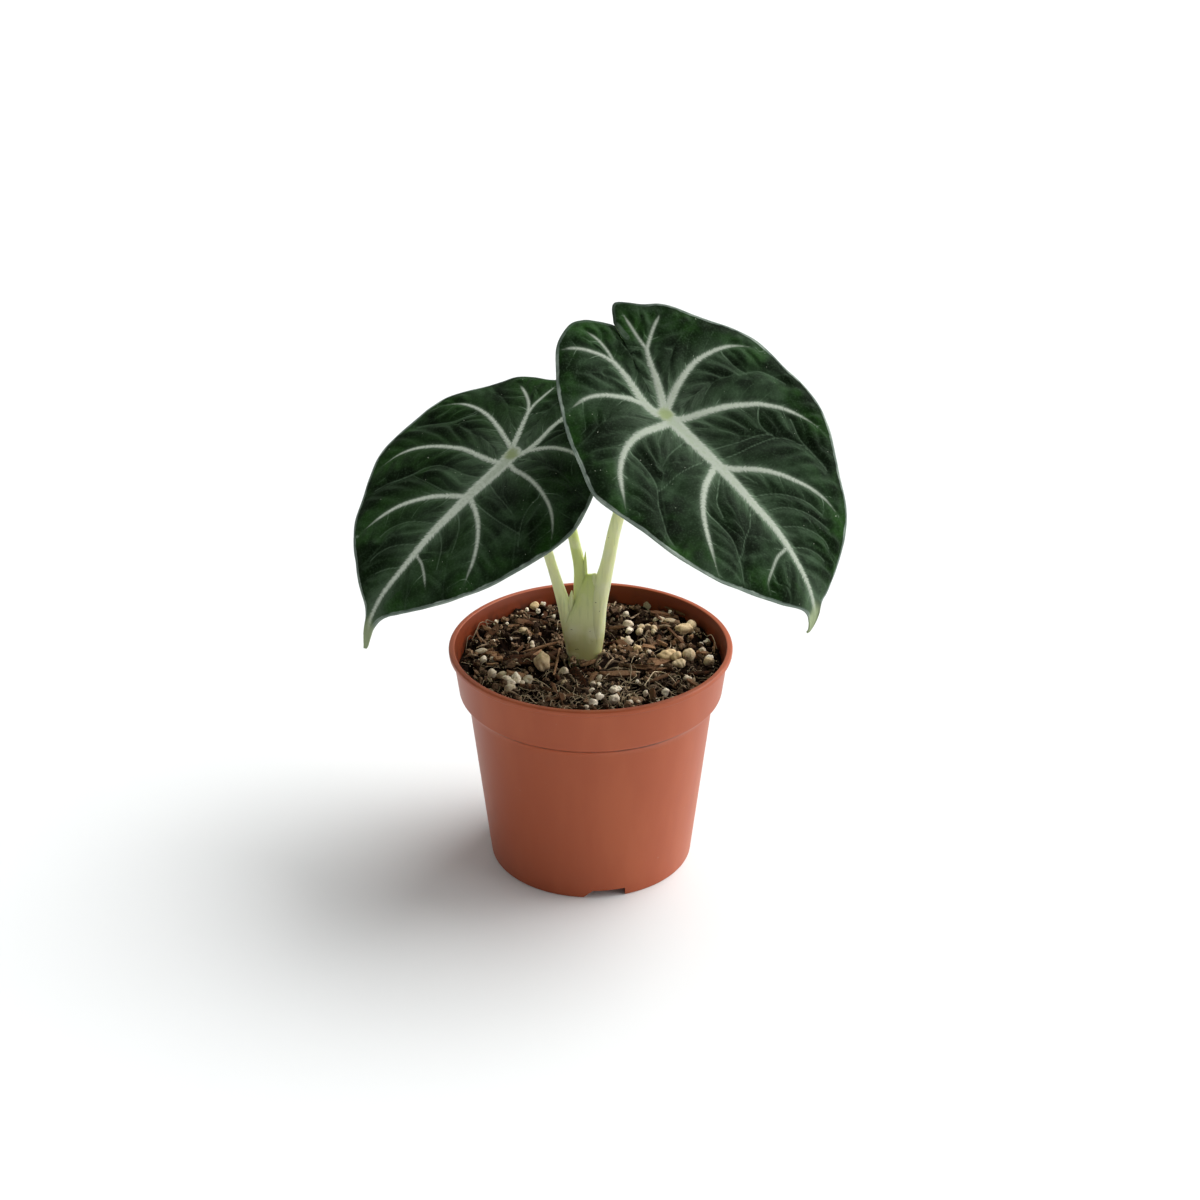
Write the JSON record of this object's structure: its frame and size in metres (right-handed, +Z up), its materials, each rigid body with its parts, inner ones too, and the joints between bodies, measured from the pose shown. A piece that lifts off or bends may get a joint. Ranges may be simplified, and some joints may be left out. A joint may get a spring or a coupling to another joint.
{
  "type": "potted ninja alocasia",
  "caption": "Young alocasia house plant with dark velvety leaves and pale veins, standing in potting mix in a round terracotta-coloured plastic nursery pot",
  "frame": {"origin": "middle of the whole plant's box, on the surface that the pot stands on; the pot's own axis is 2.6 mm towards -X and 7.9 mm towards +Y of it", "axes": "+Z up, -Y towards the viewer of the front, +X to the viewer's right"},
  "size_m": [0.198, 0.1358, 0.2409],
  "materials": {
    "pot_plastic": "moulded polypropylene, satin",
    "potting_mix": "loose bark, coir and perlite",
    "petiole": "smooth, waxy",
    "young_leaf": "smooth, waxy",
    "leaf_blade": "velvety, pale veins"
  },
  "bodies": {
    "root": {"pot": "pot_plastic", "potting_mix": "potting_mix", "left_petiole": "petiole", "right_petiole": "petiole", "young_leaf": "young_leaf", "left_leaf_blade": "leaf_blade", "right_leaf_blade": "leaf_blade"}
  },
  "joints": []
}
